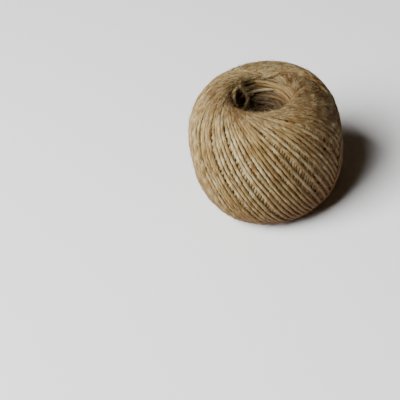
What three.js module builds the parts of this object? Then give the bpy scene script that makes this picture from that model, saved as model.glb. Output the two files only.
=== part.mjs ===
// A ball of two-ply jute twine, wound cross-wise on a mandrel that was then drawn out.
// Each turn of twine is a flat loop that leans away from the axis and just grazes both mouths
// of the centre hole, and each new loop lies a little further round than the last one.
// Millimetres, +Z up along the centre hole. The origin is at the middle of the flat ring that
// the ball stands on.

import * as THREE from "three";

// Driving dimensions of the wound form.
const EQUATOR_RADIUS = 38.6;
const POLE_SEMI_AXIS = 38; // height of the superellipse that the outside follows
const SQUARENESS = 2.7; // exponent of that superellipse; 2 would be an ellipse
const SHOULDER_LATITUDE = THREE.MathUtils.degToRad(36); // where the outside starts to round over
const LIP_RADIUS = 14.9; // edge of the mouth, where the outer turns graze the hole
const LIP_HEIGHT = 32.5; // of the same edge, above the middle of the ball
const WAIST_RADIUS = 9.2; // centre hole at half height, left by the mandrel
const FUNNEL_POWER = 1.5; // how the hole widens from its waist to its lips
const SEAT_HEIGHT = 33.4; // from the flat ring up to the middle of the ball

// Driving dimensions of the twists that show on the outside.
const RIBS = 40;
const RIB_DEPTH = 1.9; // from a rib's crest to the groove beside it
const LAYER_STEP = 0.8; // at the edge of the newest loop
const NEWEST_LOOP_AZIMUTH = THREE.MathUtils.degToRad(90); // where it grazes the upper mouth

// Driving dimensions of the loose inner end of the twine.
const TWINE_DIAMETER = 1.9;
const TWINE_SIDES = 8;
const WALL_GAP = 0.3;
const STEP_LENGTH = 2 * TWINE_DIAMETER;

// A rib takes two columns, its crest and its groove. One row further down the outside, a
// loop has moved on by one column, so ribs run along the diagonals of the grid.
const COLUMNS = 2 * RIBS;
const OUTSIDE_ROWS = COLUMNS / 2;
const FUNNEL_ROWS = 9;
const TURN_PER_COLUMN = (2 * Math.PI) / COLUMNS;

const juteBall = new THREE.MeshStandardMaterial({
  name: "jute_wound",
  color: "#a08a64",
  roughness: 0.92,
  metalness: 0,
});
const juteEnd = new THREE.MeshStandardMaterial({
  name: "jute_end",
  color: "#b7a27c",
  roughness: 0.88,
  metalness: 0,
});

// Distance from the middle of the ball to its outside at a latitude: a superellipse, a little
// squarer than an ellipse, rounded over towards the lip by a quarter of a circle.
function outsideDistance(latitude) {
  const lipLatitude = Math.atan2(LIP_HEIGHT, LIP_RADIUS);
  const onSuperellipse = (angle) => {
    const across = Math.abs(Math.cos(angle) / EQUATOR_RADIUS) ** SQUARENESS;
    const upright = Math.abs(Math.sin(angle) / POLE_SEMI_AXIS) ** SQUARENESS;
    return (across + upright) ** (-1 / SQUARENESS);
  };
  const drop = onSuperellipse(lipLatitude) - Math.hypot(LIP_RADIUS, LIP_HEIGHT);
  const past = (Math.abs(latitude) - SHOULDER_LATITUDE) / (lipLatitude - SHOULDER_LATITUDE);
  const rounding = 1 - Math.sqrt(1 - THREE.MathUtils.clamp(past, 0, 1) ** 2);
  return onSuperellipse(latitude) - drop * rounding;
}

// Radius of the centre hole at a height above or below the middle of the ball.
function holeRadius(height) {
  const share = Math.abs(height) / LIP_HEIGHT;
  return WAIST_RADIUS + (LIP_RADIUS - WAIST_RADIUS) * share ** FUNNEL_POWER;
}

// Whether the loops that lean one way cover this spot of the outside. They cover one side of
// the newest loop, and the loops' returning halves, which lean the other way, the other side.
function leadingHalfShows(column, row) {
  return column >= row && column < COLUMNS - row;
}

// How far a spot of the outside stands proud of the smooth form: ribs and grooves by turns,
// and a layer that is thickest at the newest loop and thins away from it.
function relief(column, row) {
  const fade = Math.sin(row * TURN_PER_COLUMN);
  const rib = (column + row) % 2 === 0 ? RIB_DEPTH / 2 : -RIB_DEPTH / 2;
  const leading = leadingHalfShows(column, row);
  const age = leading ? column - row : (column + row) % COLUMNS;
  const oldest = leading ? COLUMNS - 2 * row : 2 * row;
  return fade * (rib + LAYER_STEP * (0.5 - age / Math.max(oldest, 1)));
}

// A point at a column's azimuth, cut off at the flat ring that the ball stands on.
function pointAt(column, radius, height) {
  const azimuth = NEWEST_LOOP_AZIMUTH + column * TURN_PER_COLUMN;
  return [
    radius * Math.cos(azimuth),
    radius * Math.sin(azimuth),
    Math.max(height + SEAT_HEIGHT, 0),
  ];
}

// A row of the outside, from 0 at the upper lip to OUTSIDE_ROWS at the lower one. A loop has
// turned by the same angle about the axis from each row to the next. The rows of the flat ring
// have no ribs, because the ball's weight presses its turns level there.
function outsideRow(row) {
  const turned = row * TURN_PER_COLUMN;
  const latitude = Math.atan2(LIP_HEIGHT * Math.cos(turned), LIP_RADIUS);
  const smooth = outsideDistance(latitude);
  const pressedFlat = smooth * Math.sin(latitude) < -SEAT_HEIGHT;
  return Array.from({ length: COLUMNS }, (_, column) => {
    const distance = smooth + (pressedFlat ? 0 : relief(column, row));
    return pointAt(column, distance * Math.cos(latitude), distance * Math.sin(latitude));
  });
}

// A row of the centre hole's wall, from 1 above the lower lip to FUNNEL_ROWS below the upper.
function funnelRow(row) {
  const height = -LIP_HEIGHT * Math.cos((Math.PI * row) / (FUNNEL_ROWS + 1));
  return Array.from({ length: COLUMNS }, (_, column) =>
    pointAt(column, holeRadius(height), height),
  );
}

// The two triangles of a grid cell, divided along the ribs that show there.
function cellTriangles(column, row, rows) {
  const nextColumn = (column + 1) % COLUMNS;
  const nextRow = (row + 1) % rows;
  const a = row * COLUMNS + column;
  const b = nextRow * COLUMNS + column;
  const c = nextRow * COLUMNS + nextColumn;
  const d = row * COLUMNS + nextColumn;
  const alongLeading = row >= OUTSIDE_ROWS || (column >= row && column < COLUMNS - 1 - row);
  return alongLeading ? [a, b, c, a, c, d] : [a, b, d, b, c, d];
}

// The whole wound form, a grid that closes round the axis and through the centre hole.
function woundBallGeometry() {
  const rows = [];
  for (let row = 0; row <= OUTSIDE_ROWS; row += 1) rows.push(outsideRow(row));
  for (let row = 1; row <= FUNNEL_ROWS; row += 1) rows.push(funnelRow(row));
  const triangles = rows.flatMap((points, row) =>
    points.flatMap((_, column) => cellTriangles(column, row, rows.length)),
  );
  const geometry = new THREE.BufferGeometry();
  geometry.setAttribute("position", new THREE.Float32BufferAttribute(rows.flat(2), 3));
  geometry.setIndex(triangles);
  geometry.computeVertexNormals();
  return geometry;
}

// The loose end's route, by hand: azimuth in degrees, and height above the middle of the
// ball. It comes out under the far left lip, hangs down the wall of the funnel in one open
// curl, and comes back up to the left lip.
const LOOSE_END_ROUTE = [
  { azimuth: 129.0, height: 31.4 },
  { azimuth: 126.4, height: 29.5 },
  { azimuth: 123.9, height: 27.6 },
  { azimuth: 121.6, height: 25.8 },
  { azimuth: 120.2, height: 24.0 },
  { azimuth: 121.6, height: 22.3 },
  { azimuth: 126.4, height: 20.9 },
  { azimuth: 134.2, height: 20.0 },
  { azimuth: 143.4, height: 19.7 },
  { azimuth: 152.6, height: 19.9 },
  { azimuth: 160.8, height: 20.8 },
  { azimuth: 166.8, height: 22.2 },
  { azimuth: 170.0, height: 23.9 },
  { azimuth: 170.8, height: 25.7 },
  { azimuth: 169.4, height: 27.5 },
  { azimuth: 165.8, height: 29.1 },
  { azimuth: 160.2, height: 30.3 },
  { azimuth: 153.0, height: 31.0 },
  { azimuth: 145.0, height: 31.2 },
];

// The middle of the loose end at one stop of its route, clear of the funnel's wall.
function looseEndPoint({ azimuth, height }) {
  const angle = THREE.MathUtils.degToRad(azimuth);
  const radius = holeRadius(height) - WALL_GAP - TWINE_DIAMETER / 2;
  return new THREE.Vector3(
    radius * Math.cos(angle),
    radius * Math.sin(angle),
    height + SEAT_HEIGHT,
  );
}

// A round section of the twine's diameter, carried along the route.
function looseEndGeometry() {
  const path = new THREE.CatmullRomCurve3(LOOSE_END_ROUTE.map(looseEndPoint));
  const corners = Array.from({ length: TWINE_SIDES }, (_, side) => {
    const angle = (2 * Math.PI * side) / TWINE_SIDES;
    return new THREE.Vector2(Math.cos(angle), Math.sin(angle)).multiplyScalar(TWINE_DIAMETER / 2);
  });
  return new THREE.ExtrudeGeometry(new THREE.Shape(corners), {
    steps: Math.round(path.getLength() / STEP_LENGTH),
    extrudePath: path,
    bevelEnabled: false,
  });
}

function namedMesh(name, geometry, material) {
  const mesh = new THREE.Mesh(geometry, material);
  mesh.name = name;
  return mesh;
}

const twineBall = new THREE.Group();
twineBall.add(namedMesh("wound_ball", woundBallGeometry(), juteBall));
twineBall.add(namedMesh("loose_inner_end", looseEndGeometry(), juteEnd));

export default twineBall;
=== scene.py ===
"""A ball of two-ply jute twine, wound cross-wise, that stands on its lower mouth.

Metres, +Z up along the centre hole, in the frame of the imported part."""

import bpy
import numpy as np
from mathutils import Matrix, Vector


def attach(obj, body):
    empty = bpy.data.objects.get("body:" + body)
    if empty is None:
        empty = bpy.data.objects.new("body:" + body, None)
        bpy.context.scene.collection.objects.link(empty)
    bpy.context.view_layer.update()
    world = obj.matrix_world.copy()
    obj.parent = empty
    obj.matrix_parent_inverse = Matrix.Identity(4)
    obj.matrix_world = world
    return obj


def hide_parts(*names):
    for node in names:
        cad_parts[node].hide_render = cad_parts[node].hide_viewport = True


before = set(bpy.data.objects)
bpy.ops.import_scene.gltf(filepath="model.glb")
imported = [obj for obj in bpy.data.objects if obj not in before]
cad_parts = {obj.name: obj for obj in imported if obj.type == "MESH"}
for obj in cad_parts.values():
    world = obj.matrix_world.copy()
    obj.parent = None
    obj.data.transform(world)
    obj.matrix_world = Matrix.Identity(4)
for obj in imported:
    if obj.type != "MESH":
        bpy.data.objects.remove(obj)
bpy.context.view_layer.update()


# ---------------------------------------------------------------------------------------------
# Camera
# It stands in front of the ball and looks down into the mouth of the centre hole. The ball is
# right of the middle of the picture and above it, and its axis leans a little to the left.

BALL_MIDDLE = Vector((0, 0, 0.0334))
VIEW_DOWN = np.radians(41.0)
AXIS_LEAN = np.radians(9.0)
CAMERA_DISTANCE = 0.480
FOCAL_LENGTH, PICTURE_WIDTH = 83.0, 36.0  # millimetres, as the camera takes them
BALL_IN_PICTURE = (0.1642, 0.1432)  # right of the middle and above it, in picture widths

sight = Vector((0, np.cos(VIEW_DOWN), -np.sin(VIEW_DOWN)))
level_right = Vector((1, 0, 0))
level_up = level_right.cross(sight)
right = level_right * np.cos(AXIS_LEAN) - level_up * np.sin(AXIS_LEAN)
up = level_up * np.cos(AXIS_LEAN) + level_right * np.sin(AXIS_LEAN)
facing_ball = Matrix((right, up, -sight)).transposed()
off_middle = Vector((*BALL_IN_PICTURE, -FOCAL_LENGTH / PICTURE_WIDTH))
turned_aside = Vector((0, 0, -1)).rotation_difference(off_middle).to_matrix()

camera = bpy.data.objects.new("camera", bpy.data.cameras.new("camera"))
camera.data.lens = FOCAL_LENGTH
camera.data.sensor_width = PICTURE_WIDTH
camera.data.clip_start = 0.01
camera.matrix_world = Matrix.Translation(BALL_MIDDLE - sight * CAMERA_DISTANCE) @ (
    facing_ball @ turned_aside.transposed()
).to_4x4()
bpy.context.scene.collection.objects.link(camera)
bpy.context.scene.camera = camera


# ---------------------------------------------------------------------------------------------
# Loose inner end
# The end that was wound first. Two soft plies of jute, spun together, come out from under the
# lip of the upper mouth, hang down its wall in one open curl and come back up to the lip.

LIP_RADIUS, LIP_HEIGHT = 0.0149, 0.0325  # edge of a mouth; heights are from the ball's middle
WAIST_RADIUS = 0.0092
FUNNEL_POWER = 1.5
MIDDLE_HEIGHT = BALL_MIDDLE.z
TWINE_RADIUS = 0.00095
PLY_LAY = 0.0066  # length over which the two plies turn once about each other
PLY_ROUNDNESS = 0.8  # a lower one makes the plies fuller and the groove between them narrower
WALL_GAP = 0.0003
END_SWELL, END_SWELL_LENGTH = 0.05, 0.0021  # how the loosely spun end thickens and thins
LOOSE_END_ROUTE = np.array([
    (129.0, 0.0314), (126.4, 0.0295), (123.9, 0.0276), (121.6, 0.0258), (120.2, 0.0240),
    (121.6, 0.0223), (126.4, 0.0209), (134.2, 0.0200), (143.4, 0.0197), (152.6, 0.0199),
    (160.8, 0.0208), (166.8, 0.0222), (170.0, 0.0239), (170.8, 0.0257), (169.4, 0.0275),
    (165.8, 0.0291), (160.2, 0.0303), (153.0, 0.0310), (145.0, 0.0312),
])  # azimuth in degrees, height


def hole_radius(height):
    """Waist radius, plus the widening times a power of the height's share of a lip's."""
    share = np.abs(height) / LIP_HEIGHT
    return WAIST_RADIUS + (LIP_RADIUS - WAIST_RADIUS) * share**FUNNEL_POWER


def around_axis(radius, azimuth, height):
    """Points at radius times the cosine and sine of the azimuth, at a height from the middle."""
    x, y = radius * np.cos(azimuth), radius * np.sin(azimuth)
    return np.stack([x, y, height + MIDDLE_HEIGHT], -1)


def spline_through(stops, per_span):
    """Catmull-Rom: between two stops a cubic, whose slope at each stop is half of the line from
    the stop before it to the stop after it. The line runs straight on past both its ends."""
    ends = 2 * stops[[0, -1]] - stops[[1, -2]]
    a, b, c, d = (
        np.concatenate([ends[:1], stops, ends[1:]])[first:first + len(stops) - 1, None]
        for first in range(4)
    )
    t = (np.arange(per_span) / per_span)[None, :, None]
    curve = b + 0.5 * t * (c - a + t * (2 * a - 5 * b + 4 * c - d + t * (3 * (b - c) + d - a)))
    return np.concatenate([curve.reshape(-1, 3), stops[-1:]])


def unit(vectors):
    """Each vector divided by its own length."""
    return vectors / np.maximum(np.linalg.norm(vectors, axis=-1, keepdims=True), 1e-12)


def mesh_piece(name, points, quads, caps, marks, finish):
    """A closed mesh from points, four-sided faces and the faces that cap its tubes. Marks are
    values at the points, one number or one vector each, for the finish to read."""
    mesh = bpy.data.meshes.new(name)
    mesh.vertices.add(len(points))
    mesh.vertices.foreach_set("co", points.astype(np.float32).ravel())
    corners = np.concatenate([quads.ravel(), caps.ravel()])
    starts = [4 * np.arange(len(quads)), 4 * len(quads) + caps.shape[1] * np.arange(len(caps))]
    mesh.loops.add(len(corners))
    mesh.loops.foreach_set("vertex_index", corners.astype(np.int32))
    mesh.polygons.add(len(quads) + len(caps))
    mesh.polygons.foreach_set("loop_start", np.concatenate(starts).astype(np.int32))
    mesh.update(calc_edges=True)
    mesh.shade_smooth()
    for mark, values in marks.items():
        kind, field = ("FLOAT", "value") if values.ndim == 1 else ("FLOAT_VECTOR", "vector")
        layer = mesh.attributes.new(mark, kind, "POINT")
        layer.data.foreach_set(field, values.astype(np.float32).ravel())
    mesh.materials.append(finish)
    piece = bpy.data.objects.new(name, mesh)
    bpy.context.scene.collection.objects.link(piece)
    return piece


def carried_section(name, centre, outward, run, along, radius, lobe, sides, marks, finish):
    """A section carried along paths. At an angle from the outward direction it reaches out by
    the radius, less a share of it, the lobe, where the angle is square to the line through the
    two plies, and that line turns once in a lay. Points with the same run number make one
    closed tube, and a point below the floor is lifted on to it."""
    same = run[1:] == run[:-1]
    after = np.where(np.append(same, False), np.arange(len(run)) + 1, np.arange(len(run)))
    before = np.where(np.insert(same, 0, False), np.arange(len(run)) - 1, np.arange(len(run)))
    ahead = unit(centre[after] - centre[before])
    side = unit(np.cross(ahead, outward))
    top = np.cross(side, ahead)
    angle = 2 * np.pi * np.arange(sides) / sides
    spin = 2 * np.pi * along / PLY_LAY
    groove = 1 - np.abs(np.cos(angle[None] - spin[:, None])) ** PLY_ROUNDNESS
    reach = radius[:, None] * (1 - lobe * groove)
    across = reach[..., None] * np.stack([np.cos(angle), np.sin(angle)], -1)
    points = centre[:, None] + across[..., :1] * top[:, None] + across[..., 1:] * side[:, None]
    points[..., 2] = np.maximum(points[..., 2], 0)
    ring = sides * np.flatnonzero(same)[:, None] + np.arange(sides)
    turned = sides * np.flatnonzero(same)[:, None] + (np.arange(sides) + 1) % sides
    quads = np.stack([ring, turned, turned + sides, ring + sides], -1).reshape(-1, 4)
    first = sides * np.flatnonzero(before == np.arange(len(run)))[:, None]
    last = sides * np.flatnonzero(after == np.arange(len(run)))[:, None]
    caps = np.concatenate([first + np.arange(sides)[::-1], last + np.arange(sides)])
    spread = {mark: np.repeat(values, sides, axis=0) for mark, values in marks.items()}
    spread["groove"] = groove.ravel()
    spread["fibre"] = np.concatenate(
        [np.broadcast_to(along[:, None, None], groove.shape + (1,)), across], -1
    ).reshape(-1, 3)
    return mesh_piece(name, points.reshape(-1, 3), quads, caps, spread, finish)


class Shade:
    """One output of a finish's nodes. An operator on it adds the Math node that does the sum,
    and node() adds a node of any other type: its settings first, then its inputs."""

    def __init__(self, tree, socket=None):
        self.tree, self.socket = tree, socket

    def node(self, kind, settings=(), inputs=(), output=0):
        made = self.tree.nodes.new("ShaderNode" + kind)
        for setting, value in dict(settings).items():
            if setting == "stops":
                for stop, (position, colour) in zip(self._elements(made, len(value)), value):
                    stop.position, stop.color = position, (*colour, 1)
            else:
                setattr(made, setting, value)
        for key, value in dict(inputs).items():
            if isinstance(value, Shade):
                self.tree.links.new(value.socket, made.inputs[key])
            else:
                made.inputs[key].default_value = value
        return Shade(self.tree, made.outputs[output])

    @staticmethod
    def _elements(ramp, count):
        elements = ramp.color_ramp.elements
        while len(elements) < count:
            elements.new(1)
        return elements

    def _math(self, operation, *terms):
        return self.node("Math", {"operation": operation}, dict(enumerate(terms)))

    def __add__(self, other):
        return self._math("ADD", self, other)

    def __sub__(self, other):
        return self._math("SUBTRACT", self, other)

    def __rsub__(self, other):
        return self._math("SUBTRACT", other, self)

    def __mul__(self, other):
        return self._math("MULTIPLY", self, other)

    def __pow__(self, other):
        return self._math("POWER", self, other)

    def clamp(self):
        return self.node("Clamp", (), {"Value": self})

    def blend(self, other, share):
        """From this colour to another one, by a share. Sockets 6, 7 and 2 are the colours."""
        return self.node(
            "Mix", {"data_type": "RGBA"}, {"Factor": share, 6: self, 7: other}, output=2
        )

    __radd__ = __add__
    __rmul__ = __mul__


BLOTCHES_PER_METRE = 210.0  # of the noise that felting makes, all ways
STREAKS_PER_METRE = (150, 2600, 2600)  # of single fibres: along the twine, and across it
TUFTS_PER_METRE = (60, 420, 420)  # of bundles of fibres, the same ways


def jute_finish(name, pale, straw, brown, shadow):
    """Matt jute. Thin streaks, wider tufts and the strand's own tone add up to its paleness, which
    goes from brown over straw to pale. It is browner where it is marked so, a mark that on the
    outer turns also holds painted shade, and in blotches where it is felted. Painted shade darkens
    it in the groove between the plies and, most of all, where it is marked so: in the lower layers
    and deep in the hole. The streaks also raise it and gloss it a little, under a light sheen."""
    material = bpy.data.materials.new(name)
    material.use_nodes = True
    tree = material.node_tree
    shader = tree.nodes["Principled BSDF"]
    start = Shade(tree)
    fibre = start.node("Attribute", {"attribute_name": "fibre"}, output="Vector")
    groove, tone, browned, buried, felted = (
        start.node("Attribute", {"attribute_name": mark}, output="Fac")
        for mark in ("groove", "tone", "browned", "buried", "felted")
    )
    place = start.node("TexCoord", output="Object")
    blotch = start.node("TexNoise", (), {
        "Vector": place, "Scale": BLOTCHES_PER_METRE, "Detail": 3.0, "Roughness": 0.6,
    })
    drawn_out = start.node("Mapping", (), {"Vector": fibre, "Scale": STREAKS_PER_METRE})
    streak = start.node("TexNoise", (), {
        "Vector": drawn_out, "Scale": 1.0, "Detail": 3.0, "Roughness": 0.6,
    })
    bundled = start.node("Mapping", (), {"Vector": fibre, "Scale": TUFTS_PER_METRE})
    tuft = start.node("TexNoise", (), {
        "Vector": bundled, "Scale": 1.0, "Detail": 2.0, "Roughness": 0.5,
    })
    paleness = (0.5 + (streak - 0.5) * 1.5 + (tuft - 0.5) * 1.3 + (tone - 0.5) * 0.8).clamp()
    base = start.node(
        "ValToRGB", {"stops": [(0.0, brown), (0.45, straw), (1.0, pale)]}, {"Fac": paleness}
    )
    # Blends of painted shade: the brown mark holds painted shade on the right side and underside,
    # and the two shadow blends paint shade into the ply groove and into the lower layers and the
    # deep hole.
    base = base.blend((*brown, 1), (browned * 0.6 + felted * (blotch * 5.0 - 2.2)).clamp())
    base = base.blend((*shadow, 1), (groove**2 * 0.35).clamp())
    base = base.blend((*shadow, 1), (buried * 0.7).clamp())
    relief = start.node("Bump", (), {"Strength": 0.55, "Distance": 0.00012, "Height": streak})
    tree.links.new(base.socket, shader.inputs["Base Color"])
    tree.links.new((0.74 - streak * 0.22).socket, shader.inputs["Roughness"])
    tree.links.new(relief.socket, shader.inputs["Normal"])
    shader.inputs["Sheen Weight"].default_value = 0.06
    shader.inputs["Sheen Roughness"].default_value = 0.45
    shader.inputs["Sheen Tint"].default_value = (*pale, 1)
    shader.inputs["Specular IOR Level"].default_value = 0.15
    return material


loose_jute = jute_finish(
    "loose_jute",
    pale=(0.37, 0.28, 0.155), straw=(0.25, 0.17, 0.075), brown=(0.13, 0.070, 0.022),
    shadow=(0.025, 0.012, 0.004),
)
end_azimuth = np.radians(LOOSE_END_ROUTE[:, 0])
end_height = LOOSE_END_ROUTE[:, 1]
end_stops = around_axis(
    hole_radius(end_height) - WALL_GAP - TWINE_RADIUS, end_azimuth, end_height
)
end_centre = spline_through(end_stops, per_span=6)
end_along = np.insert(np.cumsum(np.linalg.norm(np.diff(end_centre, axis=0), axis=1)), 0, 0)
end_inward = unit(end_centre * (-1, -1, 0))
end_radius = TWINE_RADIUS * (1 + END_SWELL * np.sin(end_along / END_SWELL_LENGTH))
loose_end = carried_section(
    "loose_end", end_centre, end_inward, np.zeros(len(end_centre), int), end_along, end_radius,
    lobe=0.34, sides=16, marks={"tone": np.full(len(end_centre), 0.5)}, finish=loose_jute,
)
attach(loose_end, "root")
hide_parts("loose_inner_end")


# ---------------------------------------------------------------------------------------------
# Wound turns
# One long two-ply jute twine. A winder lays it round the ball in flat loops, each just grazing
# both mouths of the hole and set a little further round than the last one, so the loops cross
# the ones below and lie over them. Only the stretches that can be seen are made.

EQUATOR_RADIUS, POLE_SEMI_AXIS = 0.0386, 0.0380
SQUARENESS = 2.7  # exponent of the superellipse that the outside follows
SHOULDER_LATITUDE = np.radians(36)  # where the outside starts to round over towards the lip
LIP_LATITUDE = np.arctan2(LIP_HEIGHT, LIP_RADIUS)
FUNNEL_TURNS_FROM = 0.0165  # height down to which the turns can reach into the hole

# How the loops follow one another: azimuths and spaces in degrees, round the upper mouth.
NEWEST_LOOP = 66.0
LAID_SWEEP = 590.0  # how far round the laid loops go back from the newest
SPARSE_UP_TO = 80.0  # between the newest loop and here they are set wide apart
SPARSE_SPACE = (3.4, 5.0)
SNUG_SPACE, SNUG_SPREAD = 3.7, 0.13
LEAST_SPACE = 2.0
SKIPPED_SPACE = (6.0, 8.0)
OPEN_SIDE, TIGHT_SIDE = 243, 360
SHORT_OF_TOP = (-0.0022, 0.0012)  # where a loop turns back: past the lip where below zero
SHORT_OF_BOTTOM = (-0.0030, 0.0016)
LINE_WANDER, LINE_WAVE = 0.00022, 0.045  # how far a loop's line strays, and over what length

# How a loop is laid on the chart of the ball.
STEP = 0.00015  # between points of the twine
CHART_ROWS, CHART_COLUMNS = 512, 720
LOOPS_BEFORE_FIRM = 8  # the last few loops can still be pressed into
SOFTNESS = 0.3  # share of a fresh strand's height that holds up the next one
STRAND_FILL = 0.95  # share of a strand's roundness that others come to rest on
TAUTNESS = 0.75
SETTLING = 0.00020

# How the laid twine is set on the ball and what of it is made.
BRIDGED_WIDTH = 0.0018  # of the gaps that a smooth top goes across
TOPS_BLUR, TREND_BLUR = (1.2, 1.6), (12, 20)  # in cells of the chart: rows, columns
SWELL = 0.00025  # how far the thick parts of the winding stand out, and the thin ones back
SWELL_SOFTNESS = 0.0010
DEEPEST, HIGHEST = -0.0030, -0.0005  # a strand's middle, from the tops about it
SLACK_BELOW = -0.0010  # strands that lie deeper bulge up into the gaps, by a share
SLACK_SHARE = 0.30
TOPS_STAND_PROUD = 0.0006  # above the smooth outline
SEEN_WITHIN = 0.00025  # of the top surface
RUN_ON = 25  # points of the twine, half of them at either end of a stretch
SHORTEST_STRETCH = 30  # points
KEPT_POINTS = 5  # one point in so many is kept
WORN_ROUND_MOUTH = 0.011  # how far out from a lip handling has worn the turns
TURN_SWELL = 0.10  # share by which the twine is thicker and thinner along its length
TURN_PIECES = 4

# How the upper mouth has been drawn open on one side.
MOUTH_WIDENING, MOUTH_SINKING = 0.0045, 0.0010
WIDE_SIDE, WIDE_ARC = 335, 60  # degrees
WIDENS_FROM = 0.012  # height


def outside_distance(latitude):
    """Distance from the middle to the outside: a superellipse, less a drop that follows a
    quarter circle from the shoulder to the lip."""
    def on_superellipse(angle):
        across = np.abs(np.cos(angle) / EQUATOR_RADIUS) ** SQUARENESS
        upright = np.abs(np.sin(angle) / POLE_SEMI_AXIS) ** SQUARENESS
        return (across + upright) ** (-1 / SQUARENESS)

    drop = on_superellipse(LIP_LATITUDE) - np.hypot(LIP_RADIUS, LIP_HEIGHT)
    past = (np.abs(latitude) - SHOULDER_LATITUDE) / (LIP_LATITUDE - SHOULDER_LATITUDE)
    return on_superellipse(latitude) - drop * (1 - np.sqrt(1 - np.clip(past, 0, 1) ** 2))


def smoothed(values, width):
    """A running mean under a cosine bell, with the ends held."""
    bell = np.hanning(width + 2)[1:-1]
    return np.convolve(np.pad(values, width // 2, mode="edge"), bell / bell.sum(), "valid")


def wandering(length, seed, wave):
    """A slow irregular wave: the sum of five sines of random pitch and start, over the root
    of five."""
    draw = np.random.default_rng(seed)
    pitch, start = draw.uniform(0.6, 1.6, 5) / wave, draw.uniform(0, 2 * np.pi, 5)
    return np.sin(2 * np.pi * np.outer(length, pitch) + start).sum(1) / 5**0.5


def cross_outline():
    """Half of the ball's cross-section as a line, from inside the upper mouth over its lip and
    the outside to inside the lower mouth: arc length, radius, height and outward normal. Also
    gives the arc length at which a loop that has turned by an angle is."""
    turned = np.linspace(0, np.pi, 1201)
    latitude = np.arctan2(LIP_HEIGHT * np.cos(turned), LIP_RADIUS)
    reach = outside_distance(latitude)
    outside = np.stack([reach * np.cos(latitude), reach * np.sin(latitude)], 1)
    wall_height = np.linspace(FUNNEL_TURNS_FROM, LIP_HEIGHT, 60)[:-1]
    wall = np.stack([hole_radius(wall_height), wall_height], 1)
    line = np.concatenate([wall, outside, (wall * (1, -1))[::-1]])
    arc = np.insert(np.cumsum(np.hypot(*np.diff(line, axis=0).T)), 0, 0)
    along = np.arange(0, arc[-1], 0.0002)
    radius, height = (smoothed(np.interp(along, arc, line[:, axis]), 13) for axis in (0, 1))
    slope = unit(np.gradient(np.stack([radius, height], 1), axis=0))
    normal = np.stack([-slope[:, 1], slope[:, 0]], 1)
    return along, radius, height, normal, turned, arc[len(wall):len(wall) + len(turned)]


arc, arc_radius, arc_height, arc_normal, turned_angle, turned_arc = cross_outline()
ROWS_PER_METRE = (CHART_ROWS - 1) / arc[-1]
winding_draw = np.random.default_rng(7)


def loop_azimuths():
    """Azimuths at which one loop after another grazes the upper mouth, oldest first. Most loops
    lie snug, and some leave a gap of about a strand, more often on the ball's open side."""
    azimuths = [NEWEST_LOOP]
    while azimuths[-1] < NEWEST_LOOP + LAID_SWEEP:
        openness = (0.5 + 0.5 * np.cos(np.radians(azimuths[-1] - OPEN_SIDE))) ** 3
        tightness = (0.5 + 0.5 * np.cos(np.radians(azimuths[-1] - TIGHT_SIDE))) ** 2
        evenness = 1 + SNUG_SPREAD * winding_draw.standard_normal()
        snug = (SNUG_SPACE + 0.3 * openness - 0.7 * tightness) * evenness
        skipped = winding_draw.random() < 0.10 + 0.30 * openness - 0.10 * tightness
        if azimuths[-1] < SPARSE_UP_TO:
            space = winding_draw.uniform(*SPARSE_SPACE)
        elif skipped:
            space = winding_draw.uniform(*SKIPPED_SPACE)
        else:
            space = max(snug, LEAST_SPACE)
        azimuths.append(azimuths[-1] + space)
    return np.array(azimuths[::-1])


def loop_path(graze_before, graze_after, short_of_top, short_of_bottom, used):
    """The line of one loop over the smooth ball, from its lowest point round to the next one:
    arc length, azimuth, radius and length from its start, at even steps. It has turned evenly
    by its angle about the axis, moves on from one graze to the next at the same time, comes
    short of each lip under a bell, and wanders a little. Used is the twine laid before it."""
    turned = np.linspace(-np.pi, np.pi, 4001)
    share = (turned + np.pi) / (2 * np.pi)
    azimuth_at = graze_before * (1 - share) + graze_after * share + turned
    at_top = np.exp(-((turned / 0.8) ** 2))
    at_bottom = np.exp(-(((np.pi - np.abs(turned)) / 0.5) ** 2))
    short_below = np.where(turned < 0, short_of_bottom[0], short_of_bottom[1])
    arc_at = np.interp(np.abs(turned), turned_angle, turned_arc)
    arc_at = arc_at + at_top * short_of_top - at_bottom * short_below
    radius_at = np.interp(arc_at, arc, arc_radius)
    stride = np.hypot(np.gradient(arc_at), radius_at * np.gradient(azimuth_at))
    length = np.insert(np.cumsum(0.5 * (stride[1:] + stride[:-1])), 0, 0)
    azimuth_at = azimuth_at + LINE_WANDER * wandering(used + length, 11, LINE_WAVE) / radius_at
    even = np.linspace(0, length[-1], int(length[-1] / STEP))
    laid = [np.interp(even, length, values) for values in (arc_at, azimuth_at, radius_at)]
    return *laid, even


def chart_cell(arc_at, azimuth_at):
    """Row and column of the nearest cell of a chart of the ball, arc length by azimuth."""
    rows = np.clip(np.rint(arc_at * ROWS_PER_METRE), 0, CHART_ROWS - 1).astype(int)
    columns = np.rint(azimuth_at * CHART_COLUMNS / (2 * np.pi)).astype(int) % CHART_COLUMNS
    return rows, columns


def resting_height(firm, fresh, cells, dome):
    """Height at which a strand comes to rest on what lies there already: the highest of the
    sums of that height and the strand's own roundness, over its width. It presses most of the
    way into strands that were laid only just before it."""
    on_firm = (firm[cells] + dome).max(0)
    on_fresh = (fresh[cells] + dome).max(0)
    return on_firm + SOFTNESS * np.maximum(on_fresh - on_firm, 0)


def pulled_taut(height):
    """The height that a taut strand takes: nowhere below the middle of the line between two
    points of it, less the fall of a circle of the ball's radius between them."""
    coarse = height[::3].copy()
    for _ in range(2):
        for reach in (32, 16, 8, 4, 2, 1):
            held = np.pad(coarse, reach, mode="edge")
            fall = (reach * 3 * STEP) ** 2 / (2 * EQUATOR_RADIUS)
            coarse = np.maximum(coarse, 0.5 * (held[:-2 * reach] + held[2 * reach:]) - fall)
    return np.interp(np.arange(len(height)), np.arange(0, len(height), 3), coarse)


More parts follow.
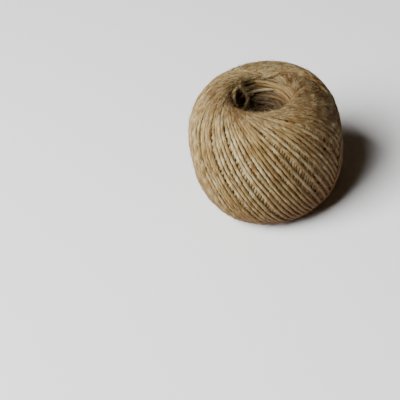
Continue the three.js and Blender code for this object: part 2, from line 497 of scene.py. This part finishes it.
def wind():
    """Lays the loops one by one on a chart of the ball that holds the height reached so far.
    Returns the twine's arc length, azimuth, height, length and loop, point by point, how much
    of other strands lies over each point, and the chart."""
    grazes = np.radians(loop_azimuths())
    short_of_top = winding_draw.uniform(*SHORT_OF_TOP, len(grazes) - 1)
    short_of_bottom = winding_draw.uniform(*SHORT_OF_BOTTOM, len(grazes))
    firm = np.zeros((CHART_ROWS, CHART_COLUMNS))
    fresh = np.zeros((CHART_ROWS, CHART_COLUMNS))
    across = 0.98 * TWINE_RADIUS * np.linspace(-1, 1, 13)[:, None]
    dome = np.sqrt(TWINE_RADIUS**2 - across**2)
    paths, prints, used = [], [], 0.0
    for loop in range(len(grazes) - 1):
        arc_at, azimuth_at, radius_at, length = loop_path(
            *grazes[loop:loop + 2], short_of_top[loop], short_of_bottom[loop:loop + 2], used
        )
        heading = unit(np.stack([np.gradient(arc_at), radius_at * np.gradient(azimuth_at)], 1))
        cells = chart_cell(
            arc_at - across * heading[:, 1], azimuth_at + across * heading[:, 0] / radius_at
        )
        rested = resting_height(firm, fresh, cells, dome)
        height = TAUTNESS * pulled_taut(rested) + (1 - TAUTNESS) * rested - SETTLING
        height = smoothed(height, 15)
        prints.append((cells, height + STRAND_FILL * dome))
        np.maximum.at(fresh, *prints[-1])
        if loop >= LOOPS_BEFORE_FIRM:
            np.maximum.at(firm, *prints[loop - LOOPS_BEFORE_FIRM])
        paths.append((arc_at, azimuth_at, height, used + length, np.full(len(length), loop)))
        used += length[-1]
    covered = np.concatenate([(fresh[cells] - top).min(0) for cells, top in prints])
    return [np.concatenate(values) for values in zip(*paths)], covered, fresh


def evened(chart, rows_blur, columns_blur):
    """The chart under a Gaussian blur that goes round in azimuth and is mirrored at the ends."""
    both = np.concatenate([chart, chart[::-1]])
    row_wave = np.fft.fftfreq(len(both))[:, None] * rows_blur
    column_wave = np.fft.fftfreq(chart.shape[1])[None] * columns_blur
    kept = np.exp(-2 * np.pi**2 * (row_wave**2 + column_wave**2))
    return np.fft.ifft2(np.fft.fft2(both) * kept).real[:len(chart)]


def bridged(chart):
    """The chart with its gaps between strands filled to the tops beside them, and its steps kept:
    the highest value within a strand's width of each spot, then the lowest of those."""
    row_radius = np.interp(np.arange(CHART_ROWS) / ROWS_PER_METRE, arc, arc_radius)
    columns = BRIDGED_WIDTH * CHART_COLUMNS / (2 * np.pi * row_radius)
    for pick in (np.maximum, np.minimum):
        widest = chart
        for shift in range(1, int(columns.max()) + 1):
            moved = pick(np.roll(chart, shift, 1), np.roll(chart, -shift, 1))
            widest = np.where((columns >= shift)[:, None], pick(widest, moved), widest)
        chart = widest
        for shift in range(1, int(BRIDGED_WIDTH * ROWS_PER_METRE) + 1):
            held = np.pad(widest, ((shift, shift), (0, 0)), mode="edge")
            chart = pick(chart, pick(held[2 * shift:], held[:-2 * shift]))
    return chart


def on_ball(arc_at, azimuth_at, height):
    """Points at a height above the smooth outline, and the outward directions there."""
    lift_radius, lift_height = (np.interp(arc_at, arc, arc_normal[:, axis]) for axis in (0, 1))
    radius = np.interp(arc_at, arc, arc_radius) + height * lift_radius
    z = np.interp(arc_at, arc, arc_height) + height * lift_height
    flat = np.zeros_like(z) - MIDDLE_HEIGHT
    outward = around_axis(lift_radius, azimuth_at, flat) + np.stack([0 * z, 0 * z, lift_height], -1)
    return around_axis(radius, azimuth_at, z), outward


def bell_round(azimuth, middle, width):
    """A bell round an azimuth, both it and the width in degrees: exp of minus the square of the
    angle from it over the width."""
    away = (azimuth - np.radians(middle) + np.pi) % (2 * np.pi) - np.pi
    return np.exp(-((away / np.radians(width)) ** 2))


def pulled_open(points):
    """The upper mouth, drawn out to one side: a point moves away from the axis by the widening
    times three shares, each a smooth step or bell: of its azimuth about the wide side, of its
    height up to the lip, and of its distance from the axis, back from the outside."""
    x, y, z = points[..., 0], points[..., 1], points[..., 2]
    radius, azimuth = np.hypot(x, y), np.arctan2(y, x)
    about = bell_round(azimuth, WIDE_SIDE, WIDE_ARC)
    rise = np.clip((z - MIDDLE_HEIGHT - WIDENS_FROM) / (LIP_HEIGHT - WIDENS_FROM), 0, 1)
    inner = 1 - np.clip((radius - LIP_RADIUS) / (EQUATOR_RADIUS - LIP_RADIUS), 0, 1)
    share = about * rise**2 * (3 - 2 * rise) * inner**1.3
    factor = 1 + MOUTH_WIDENING * share / np.maximum(radius, 1e-6)
    return np.stack([x * factor, y * factor, z - MOUTH_SINKING * share], -1)


wound_jute = jute_finish(
    "wound_jute",
    pale=(0.405, 0.333, 0.193), straw=(0.230, 0.157, 0.060), brown=(0.108, 0.048, 0.011),
    shadow=(0.020, 0.009, 0.003),
)
(twine_arc, twine_azimuth, twine_height, twine_along, twine_loop), covered, top_chart = wind()
twine_cells = chart_cell(twine_arc, twine_azimuth)

# The tops of the turns are brought to the smooth outline, and each strand keeps its own depth
# below the tops about it, within limits.
tops = evened(bridged(top_chart), *TOPS_BLUR)
swell = SWELL * np.tanh((tops - evened(tops, *TREND_BLUR)) / SWELL_SOFTNESS)
relative = np.clip(twine_height - tops[twine_cells], DEEPEST, HIGHEST)
relative = relative - SLACK_SHARE * np.minimum(relative - SLACK_BELOW, 0)
relative = smoothed(relative, 13) + swell[twine_cells] + TOPS_STAND_PROUD

# Where a strand is covered it isn't made, but each stretch runs on a little under its neighbours.
seen = covered < SEEN_WITHIN
seen = np.convolve(seen, np.ones(RUN_ON), "same") > 0.5
edges = np.flatnonzero(np.diff(np.concatenate([[False], seen, [False]]).astype(int)))
starts, stops = edges[::2], edges[1::2]
long_enough = stops - starts > SHORTEST_STRETCH
run = np.full(len(seen), -1)
for number, (first, last) in enumerate(zip(starts[long_enough], stops[long_enough])):
    run[first:last] = number
kept = (run >= 0) & (np.arange(len(run)) % KEPT_POINTS == 0)

turn_arc, turn_height, turn_run, turn_along = (
    values[kept] for values in (twine_arc, relative, run, twine_along)
)
turn_centre, turn_outward = on_ball(turn_arc, twine_azimuth[kept], turn_height)
turn_centre = pulled_open(turn_centre)
turn_centre[:, 2] = np.maximum(turn_centre[:, 2], 0.8 * TWINE_RADIUS)
turn_z = turn_centre[:, 2]
turn_azimuth = np.arctan2(turn_centre[:, 1], turn_centre[:, 0])
from_lip = np.minimum(np.abs(turn_arc - turned_arc[0]), np.abs(turn_arc - turned_arc[-1]))
by_mouth = np.exp(-((from_lip / WORN_ROUND_MOUTH) ** 2))
loop_tone = np.random.default_rng(3).uniform(0, 1, twine_loop.max() + 1)

# The twine is browner close round the left of the mouth. Down the right side and towards the floor,
# most of all in front, it is browner and darker as painted shade. It is felted on the right
# shoulder.
brown_left = by_mouth * bell_round(turn_azimuth, 205, 70)
painted_shade_right = (1.4 - 14 * turn_z) * bell_round(turn_azimuth, 328, 50)
painted_shade_below = (1.1 + 0.7 * bell_round(turn_azimuth, 288, 45)) * np.clip(1 - turn_z / 0.036, 0, 1)
turn_marks = {
    "tone": 0.3 + 0.4 * loop_tone[twine_loop[kept]] + 0.2 * wandering(turn_along, 5, 0.009),
    "browned": brown_left + painted_shade_right + painted_shade_below,
    "felted": bell_round(turn_azimuth, 5, 44) * np.clip((turn_z - 0.026) / 0.020, 0, 1),
    # painted shade: the deeper a strand lies below the tops about it, the darker it is
    "buried": np.clip((-0.0008 - turn_height) / 0.0022, 0, 1),
}
turn_radius = TWINE_RADIUS * (1 + TURN_SWELL * wandering(turn_along, 19, 0.010))
stretch_start = np.searchsorted(turn_run, turn_run)  # so that no stretch is cut in two
for part in range(TURN_PIECES):
    in_part = stretch_start * TURN_PIECES // len(turn_run) == part
    turns = carried_section(
        f"wound_turns_{part + 1}", turn_centre[in_part], turn_outward[in_part],
        turn_run[in_part], turn_along[in_part], turn_radius[in_part], lobe=0.19, sides=10,
        marks={mark: values[in_part] for mark, values in turn_marks.items()}, finish=wound_jute,
    )
    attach(turns, "root")
    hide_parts("wound_ball")


# ---------------------------------------------------------------------------------------------
# Turns in the wall of the centre hole
# Older and smaller loops, from when the ball was thinner. Each shows only where it touched the
# mandrel: a nearly straight stretch that comes out of the wall and goes back into it.

WALL_ROWS = 36
WALL_STRETCHES = 6  # in one row round the hole
WALL_REACH = 0.0308  # height of the last row, above and below the middle
HALF_WIDTH = np.radians(58)
STANDS_PROUD = 0.0003  # of the wall's smooth form, less what a stretch is set back
SET_BACK = 0.0011
SLOW_BEND, LATE_BEND = 0.05, 0.22  # shares of the radius by which its ends go into the wall
WALL_SWELL = 0.10
SHADE_FROM, SHADE_RISE, SHADE_FADE = 0.0250, 0.0060, 0.009  # heights: see the marks below

wall_draw = np.random.default_rng(21)
row, stretch = (grid.ravel() for grid in np.mgrid[0:WALL_ROWS, 0:WALL_STRETCHES])
stretches = row.size
off_height = wall_draw.uniform(-0.0005, 0.0005, stretches)
off_place = wall_draw.uniform(-0.3, 0.3, stretches)
touch_height = -WALL_REACH + 2 * WALL_REACH * row / (WALL_ROWS - 1) + off_height
touch_azimuth = 2 * np.pi * (stretch + 0.37 * row + off_place) / WALL_STRETCHES
set_back = SET_BACK * wall_draw.random(stretches) ** 1.5
touch_radius = hole_radius(touch_height) + TWINE_RADIUS - STANDS_PROUD + set_back
tilt = wall_draw.normal(0.10, 0.05, stretches)
sweep = np.linspace(-1, 1, 25)[None]
wall_turn = HALF_WIDTH * sweep
wall_radius = touch_radius[:, None] * (1 + LATE_BEND * sweep**4 + SLOW_BEND * sweep**2)
wall_height = touch_height[:, None] + tilt[:, None] * wall_radius * np.sin(wall_turn)
wall_azimuth = touch_azimuth[:, None] + wall_turn
wall_centre = pulled_open(around_axis(wall_radius, wall_azimuth, wall_height)).reshape(-1, 3)
wall_inward = unit(wall_centre * (-1, -1, 0))
place_on_twine = row * 0.037 + stretch * 0.0113  # apart, so that no two have the same fibres
wall_along = (place_on_twine[:, None] + touch_radius[:, None] * wall_turn).ravel()
wall_run = np.repeat(np.arange(stretches), sweep.size)

# Painted shade: light is painted as falling in from either mouth down to the shade line, which is
# higher at the back, and fading out below it, where the wall is painted dark. The stretches that
# are set back are painted darker too.
wall_tone = wall_draw.uniform(0.0, 0.9, stretches)
wall_browned = 0.3 + 0.9 * bell_round(wall_azimuth.ravel(), 5, 45)
shade_line = SHADE_FROM + SHADE_RISE * bell_round(wall_azimuth, 105, 38)
shaded = np.clip((shade_line - np.abs(wall_height)) / SHADE_FADE, 0, 1)
wall_turns = carried_section(
    "hole_wall_turns", wall_centre, wall_inward, wall_run, wall_along,
    TWINE_RADIUS * (1 + WALL_SWELL * wandering(wall_along, 31, 0.012)), lobe=0.15, sides=8,
    marks={
        "tone": np.repeat(wall_tone, sweep.size),
        "browned": wall_browned,
        "buried": (1.25 * np.clip(0.9 * shaded + set_back[:, None] / 0.0020, 0, 1)).ravel(),
    },
    finish=wound_jute,
)
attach(wall_turns, "root")
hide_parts("wound_ball")


# ---------------------------------------------------------------------------------------------
# Stray fibres
# Jute is a hairy yarn: ends of its fibres stand off the outer turns, most of all round the
# mouths, where the twine rubbed on the winder, and off the loose end. Each is a tapered hair
# that curves away and back.

TURN_HAIRS, END_HAIRS, WALL_HAIRS = 2600, 420, 1400
HAIR_STOPS = 6
HAIR_LENGTH = (0.0020, 0.0060)
HAIR_RADIUS = (0.000035, 0.000065)
HAIR_LEAN = (0.06, 0.55)  # away from the twine, over the length along it
HAIRS_OVER_FLOOR = 0.0004
NONE_BELOW = 0.004  # height under which none grow, near the floor

hair_draw = np.random.default_rng(40)


def hair_roots(count, centre, outward, likely, browned):
    """Where hairs grow, drawn by likelihood from the points of a twine: the point, 0.7 of the
    twine's radius off its middle, the twine's heading, the way outward and its brownness, which on
    the outer turns holds painted shade too."""
    heading = unit(np.gradient(centre, axis=0))
    drawn = hair_draw.choice(len(centre), count, p=likely / likely.sum())
    root = centre[drawn] + 0.7 * TWINE_RADIUS * outward[drawn]
    return root, heading[drawn], outward[drawn], browned[drawn]


def hairs(root, along_twine, off_twine, length, radius):
    """Hairs that leave the twine at a low angle and bend: root, plus the length times its share
    times the heading, plus half the share's square times a bend back to the twine. The radius
    shrinks by the 1.5th power of the share."""
    count = len(root)
    aside = np.cross(along_twine, off_twine)
    lean = hair_draw.uniform(*HAIR_LEAN, count)[:, None]
    sway = hair_draw.normal(0, 0.45, count)[:, None]
    way = np.where(hair_draw.random(count) < 0.5, -1, 1)[:, None]
    heading = unit(way * along_twine + lean * off_twine + sway * aside)
    bend = hair_draw.normal(0, 0.55, (count, 3)) - 0.9 * lean * off_twine
    share = np.linspace(0, 1, HAIR_STOPS)[None, :, None]
    path = root[:, None] + length[:, None, None] * (
        share * heading[:, None] + 0.5 * share**2 * bend[:, None]
    )
    taper = radius[:, None] * (1 - 0.75 * share[..., 0] ** 1.5)
    facing = np.broadcast_to(unit(np.cross(heading, aside) + 0.3 * aside)[:, None], path.shape)
    return path.reshape(-1, 3), facing.reshape(-1, 3), taper.ravel()


on_turns = np.where(turn_height > -0.0008, 0.25 + 1.9 * by_mouth, 0) * (turn_z > NONE_BELOW)
on_end = 1 + 5 * np.linspace(-1, 1, len(end_centre)) ** 8  # thickest at its two ends
on_wall = (np.abs(np.tile(sweep[0], stretches)) < 0.6) * (wall_height.ravel() > 0.010)
end_around = unit(np.cross(end_centre, hair_draw.standard_normal(end_centre.shape)))
hair_root, hair_along, hair_off, hair_brown_and_shade = (
    np.concatenate(parts) for parts in zip(
        hair_roots(TURN_HAIRS, turn_centre, unit(turn_outward), on_turns, turn_marks["browned"]),
        hair_roots(END_HAIRS, end_centre, end_around, on_end, np.zeros(len(end_centre))),
        hair_roots(WALL_HAIRS, wall_centre, wall_inward, on_wall, wall_browned),
    )
)
HAIRS = TURN_HAIRS + END_HAIRS + WALL_HAIRS
hair_path, hair_facing, hair_radius = hairs(
    hair_root, hair_along, hair_off,
    hair_draw.uniform(*HAIR_LENGTH, HAIRS), hair_draw.uniform(*HAIR_RADIUS, HAIRS),
)
hair_path[:, 2] = np.maximum(hair_path[:, 2], HAIRS_OVER_FLOOR)
hair_run = np.repeat(np.arange(HAIRS), HAIR_STOPS)
fuzz = carried_section(
    "stray_fibres", hair_path, hair_facing, hair_run, 0.0007 * np.arange(len(hair_run)),
    hair_radius, lobe=0, sides=3,
    marks={
        "tone": np.repeat(hair_draw.uniform(0.3, 1.0, HAIRS), HAIR_STOPS),
        "browned": np.repeat(hair_brown_and_shade, HAIR_STOPS),
    },
    finish=wound_jute,
)
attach(fuzz, "root")
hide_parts("wound_ball")


# ---------------------------------------------------------------------------------------------
# Matted fibres
# Handling has rubbed short fibres loose from the twine and pressed them flat. They lie across the
# turns and the gaps between them, densest on the worn shoulder and round the upper mouth.

MATTED = 9000
MAT_STOPS = 4
MAT_LENGTH = (0.0020, 0.0050)
MAT_RADIUS = (0.00004, 0.00009)

mat_draw = np.random.default_rng(77)
on_mat = np.where(turn_height > -0.0011, 0.13 + by_mouth + 2.6 * turn_marks["felted"], 0)
on_mat = on_mat * (turn_z > NONE_BELOW)
mat_point = mat_draw.choice(len(turn_centre), MATTED, p=on_mat / on_mat.sum())
mat_along = unit(np.gradient(turn_centre, axis=0))[mat_point]
mat_outward = unit(turn_outward[mat_point])
mat_aside = np.cross(mat_along, mat_outward)
mat_way = np.where(mat_draw.random(MATTED) < 0.5, -1, 1)[:, None]
mat_heading = unit(mat_way * mat_along + mat_draw.normal(0, 0.32, MATTED)[:, None] * mat_aside)
mat_length = mat_draw.uniform(*MAT_LENGTH, MATTED)[:, None, None]
mat_root = turn_centre[mat_point] + TWINE_RADIUS * (
    1.05 * mat_outward + mat_draw.uniform(-0.7, 0.7, MATTED)[:, None] * mat_aside
)

# From its root on the twine's skin a fibre runs straight, falls with the ball's own curve, and
# bends to one side by the square of its share of the length.
mat_share = np.linspace(0, 1, MAT_STOPS)[None, :, None]
mat_straight = mat_length * mat_share * mat_heading[:, None]
mat_fall = mat_length**2 * mat_share**2 / (2 * EQUATOR_RADIUS) * mat_outward[:, None]
mat_bend = mat_length * mat_share**2 * mat_draw.normal(0, 0.25, (MATTED, 1, 1)) * (
    np.cross(mat_heading, mat_outward)[:, None]
)
mat_path = (mat_root[:, None] + mat_straight - mat_fall + mat_bend).reshape(-1, 3)
mat_path[:, 2] = np.maximum(mat_path[:, 2], HAIRS_OVER_FLOOR)
mat_run = np.repeat(np.arange(MATTED), MAT_STOPS)
mat_radius = np.repeat(mat_draw.uniform(*MAT_RADIUS, MATTED), MAT_STOPS)
mat_radius = mat_radius * np.tile(1 - 0.6 * np.linspace(-1, 1, MAT_STOPS) ** 2, MATTED)
# The matted fibres take the brown mark of the turns under them, painted shade included.
mat = carried_section(
    "matted_fibres", mat_path, np.repeat(mat_outward, MAT_STOPS, axis=0), mat_run,
    0.0007 * np.arange(len(mat_run)), mat_radius, lobe=0, sides=3,
    marks={
        "tone": np.repeat(mat_draw.uniform(-0.5, 1.6, MATTED), MAT_STOPS),
        "browned": np.repeat(turn_marks["browned"][mat_point], MAT_STOPS),
        "felted": np.repeat(turn_marks["felted"][mat_point], MAT_STOPS),
    },
    finish=wound_jute,
)
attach(mat, "root")
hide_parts("wound_ball")


# ---------------------------------------------------------------------------------------------
# Body of the ball under the top turns
# The older turns below the ones that are made singly, as one closed form painted dark, in painted
# shade, that shows only as shadow between them.

BODY_DEPTH = 0.0026  # below the smooth outline
BODY_BEHIND_WALL = 0.0021
BODY_OVER_FLOOR = 0.0012
BODY_OUTER_ROWS, BODY_WALL_ROWS, BODY_COLUMNS = 70, 40, 120
# Both browns are painted shade: the older turns are the same jute, darkened to read as the shadow
# between the top turns.
DEEP_BROWN, BROWN = (0.035, 0.017, 0.006), (0.11, 0.060, 0.020)


def body_finish(name):
    """Jute painted dark as shade: two browns in blotches that also stand proud of each other."""
    material = bpy.data.materials.new(name)
    material.use_nodes = True
    tree = material.node_tree
    shader = tree.nodes["Principled BSDF"]
    start = Shade(tree)
    place = start.node("TexCoord", output="Object")
    blotch = start.node("TexNoise", (), {"Vector": place, "Scale": 420.0, "Detail": 3.0})
    colour = start.node("ValToRGB", {"stops": [(0.3, DEEP_BROWN), (0.7, BROWN)]}, {"Fac": blotch})
    relief = start.node("Bump", (), {"Strength": 0.8, "Distance": 0.0004, "Height": blotch})
    tree.links.new(colour.socket, shader.inputs["Base Color"])
    tree.links.new(relief.socket, shader.inputs["Normal"])
    shader.inputs["Roughness"].default_value = 0.95
    return material


body_arc = np.linspace(turned_arc[0], turned_arc[-1], BODY_OUTER_ROWS)
outer_radius, outer_height = (
    np.interp(body_arc, arc, line) - BODY_DEPTH * np.interp(body_arc, arc, arc_normal[:, axis])
    for axis, line in enumerate((arc_radius, arc_height))
)
inner_height = np.linspace(outer_height[-1], outer_height[0], BODY_WALL_ROWS + 2)[1:-1]
body_radius = np.concatenate([outer_radius, hole_radius(inner_height) + BODY_BEHIND_WALL])
body_height = np.concatenate([outer_height, inner_height])
body_azimuth = 2 * np.pi * np.arange(BODY_COLUMNS) / BODY_COLUMNS
body_points = pulled_open(around_axis(
    *np.broadcast_arrays(body_radius[:, None], body_azimuth[None], body_height[:, None])
))
body_points[..., 2] = np.maximum(body_points[..., 2], BODY_OVER_FLOOR)
body_row, body_column = np.mgrid[0:len(body_radius), 0:BODY_COLUMNS]
next_row = (body_row + 1) % len(body_radius)
next_column = (body_column + 1) % BODY_COLUMNS
body_quads = np.stack([
    body_row * BODY_COLUMNS + body_column, next_row * BODY_COLUMNS + body_column,
    next_row * BODY_COLUMNS + next_column, body_row * BODY_COLUMNS + next_column,
], -1).reshape(-1, 4)
body = mesh_piece(
    "under_turns", body_points.reshape(-1, 3), body_quads, np.zeros((0, 4), int), {},
    body_finish("shaded_jute"),
)
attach(body, "root")
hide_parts("wound_ball")


# ---------------------------------------------------------------------------------------------
# Floor and studio light
# A wide pale sheet to stand on, one large soft light from the left, above and in front, and a
# dim warm room round it.

FLOOR_REACH = 3.0
FLOOR_GREY = (0.74, 0.74, 0.74, 1)
KEY_PLACE, KEY_SIZE, KEY_WATTS = (-0.76, -0.44, 1.05), 0.8, 61
ROOM_COLOUR, ROOM_STRENGTH = (1.0, 0.72, 0.46, 1), 0.035

floor_material = bpy.data.materials.new("pale_floor")
floor_material.use_nodes = True
floor_shader = floor_material.node_tree.nodes["Principled BSDF"]
floor_shader.inputs["Base Color"].default_value = FLOOR_GREY
floor_shader.inputs["Roughness"].default_value = 0.95
floor_corners = FLOOR_REACH * np.array([(-1, -1, 0), (1, -1, 0), (1, 1, 0), (-1, 1, 0)])
floor_mesh = bpy.data.meshes.new("floor")
floor_mesh.from_pydata(floor_corners, [], [(0, 1, 2, 3)])
floor_mesh.materials.append(floor_material)
floor = bpy.data.objects.new("floor", floor_mesh)
bpy.context.scene.collection.objects.link(floor)

key_lamp = bpy.data.lights.new("key", "AREA")
key_lamp.size, key_lamp.energy = KEY_SIZE, KEY_WATTS
key = bpy.data.objects.new("key", key_lamp)
key_aim = (BALL_MIDDLE - Vector(KEY_PLACE)).to_track_quat("-Z", "Y")
key.matrix_world = Matrix.Translation(KEY_PLACE) @ key_aim.to_matrix().to_4x4()
bpy.context.scene.collection.objects.link(key)

room = bpy.data.worlds.new("room")
room.use_nodes = True
room.node_tree.nodes["Background"].inputs["Color"].default_value = ROOM_COLOUR
room.node_tree.nodes["Background"].inputs["Strength"].default_value = ROOM_STRENGTH
bpy.context.scene.world = room
